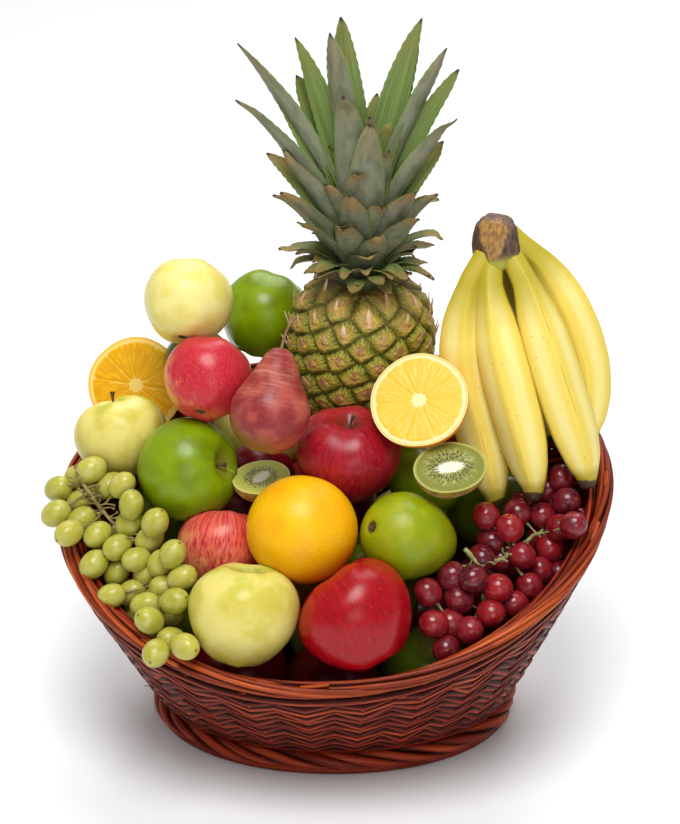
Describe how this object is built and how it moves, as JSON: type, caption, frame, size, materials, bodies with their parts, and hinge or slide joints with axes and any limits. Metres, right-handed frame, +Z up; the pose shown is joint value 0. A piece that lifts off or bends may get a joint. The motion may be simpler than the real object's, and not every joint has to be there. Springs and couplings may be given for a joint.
{
  "type": "fruit gift basket",
  "caption": "Oval dark wicker gift basket with a low front and a high back, heaped with fresh whole and halved fruit, bananas, grapes and a pineapple.",
  "frame": {"origin": "middle of the bounding box's underside, on the surface the basket's foot stands on", "axes": "+Z up; the basket's low front faces -Y; +X is the viewer's right from the front"},
  "size_m": [0.4302, 0.3286, 0.5302],
  "materials": {
    "basket": "dark red-brown stained and varnished wicker",
    "yellow_apple": "waxy pale yellow apple skin",
    "green_apple": "glossy waxed green apple skin",
    "red_apple": "glossy crimson apple skin with pale specks",
    "pink_apple": "red apple skin with yellow streaks",
    "dark_red_apple": "glossy dark red apple skin",
    "orange_peel": "dimpled satin orange peel",
    "kiwi_skin": "dull brown fuzzy kiwi skin",
    "red_pear": "dull brick-red pear skin",
    "green_pear": "satin yellow-green pear skin",
    "pineapple_skin": "rough tan and green pineapple rind",
    "pineapple_leaf": "grey-green leathery leaves",
    "banana_peel": "satin pale yellow banana peel",
    "green_grape": "translucent yellow-green grape skin",
    "red_grape": "dark red grape skin with a pale bloom"
  },
  "bodies": {
    "root": {"apple_dark_red": "dark_red_apple", "apple_green": "green_apple", "apple_green_back": "green_apple", "apple_green_middle": "green_apple", "apple_pink": "pink_apple", "apple_red_front": "red_apple", "apple_red_upper": "red_apple", "apple_yellow_front": "yellow_apple", "apple_yellow_left": "yellow_apple", "apple_yellow_top": "yellow_apple", "banana_hand": "banana_peel", "basket_foot": "basket", "basket_rim": "basket", "basket_rim_inner": "basket", "basket_wall": "basket", "grapes_green": "green_grape", "grapes_red": "red_grape", "kiwi_half_left": "kiwi_skin", "kiwi_half_right": "kiwi_skin", "lower_fruit_01": "dark_red_apple", "lower_fruit_02": "red_apple", "lower_fruit_03": "green_apple", "lower_fruit_04": "yellow_apple", "lower_fruit_05": "orange_peel", "lower_fruit_06": "red_apple", "lower_fruit_07": "green_apple", "lower_fruit_08": "green_apple", "lower_fruit_09": "dark_red_apple", "lower_fruit_10": "red_apple", "lower_fruit_11": "yellow_apple", "lower_fruit_12": "green_apple", "lower_fruit_13": "orange_peel", "lower_fruit_14": "green_apple", "lower_fruit_15": "green_apple", "lower_fruit_16": "red_apple", "lower_fruit_17": "yellow_apple", "lower_fruit_18": "red_apple", "lower_fruit_19": "red_apple", "lower_fruit_20": "green_apple", "orange_half_left": "orange_peel", "orange_half_right": "orange_peel", "orange_whole": "orange_peel", "pear_green": "green_pear", "pear_red": "red_pear", "pineapple_body": "pineapple_skin", "pineapple_crown": "pineapple_leaf"}
  },
  "joints": []
}
